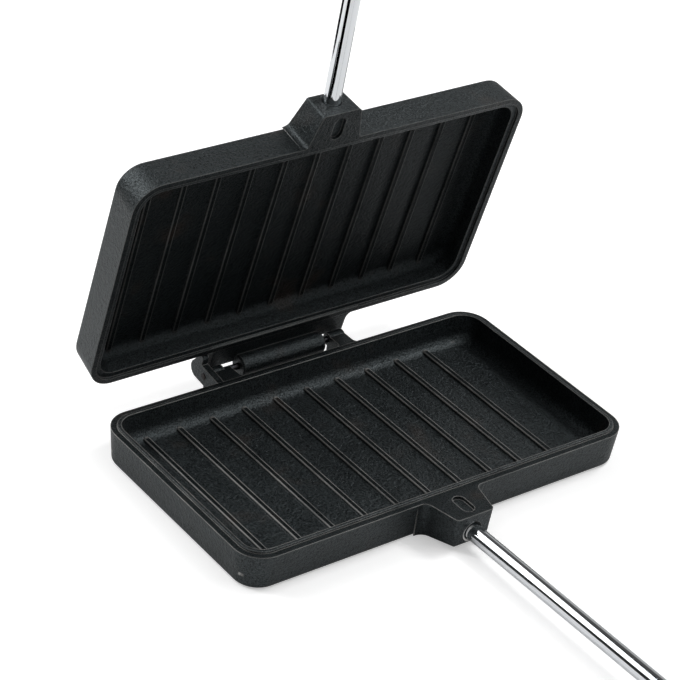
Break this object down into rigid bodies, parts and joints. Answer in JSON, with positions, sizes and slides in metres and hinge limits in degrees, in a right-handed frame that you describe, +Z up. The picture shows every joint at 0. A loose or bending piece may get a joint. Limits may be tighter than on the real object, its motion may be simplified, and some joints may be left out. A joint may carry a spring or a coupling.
{
  "type": "pie iron",
  "caption": "Hinged pair of ribbed cast-iron cooking pans on long plated rods with turned wooden grips, for toasting filled bread over a fire.",
  "frame": {"origin": "middle of the lower pan's flat underside, on the surface that it stands on", "axes": "+Z up, +X along the hinge, +Y from the handles towards the hinge"},
  "size_m": [0.216, 0.7229, 0.7175],
  "materials": {
    "pan_iron": "black seasoned casting, fine sand grain",
    "pin_steel": "plain turned steel",
    "rod_chrome": "bright plated",
    "grip_wood": "turned hardwood, satin oil",
    "ferrule_steel": "drawn, nickel plated",
    "end_steel": "zinc plated"
  },
  "bodies": {
    "lower_half": {"lower_pan": "pan_iron", "hinge_pin": "pin_steel", "lower_rod": "rod_chrome", "lower_grip": "grip_wood", "lower_ferrule": "ferrule_steel", "lower_end_washer": "end_steel", "lower_cap_nut": "end_steel"},
    "upper_half": {"upper_pan": "pan_iron", "upper_rod": "rod_chrome", "upper_grip": "grip_wood", "upper_ferrule": "ferrule_steel", "upper_end_washer": "end_steel", "upper_cap_nut": "end_steel"}
  },
  "joints": [
    {"name": "hinge", "type": "hinge", "parent": "lower_half", "child": "upper_half", "pos_m": [0, 0.0713, 0.015], "axis": [1, 0, 0], "range_deg": [-103.5, 76.5]}
  ]
}
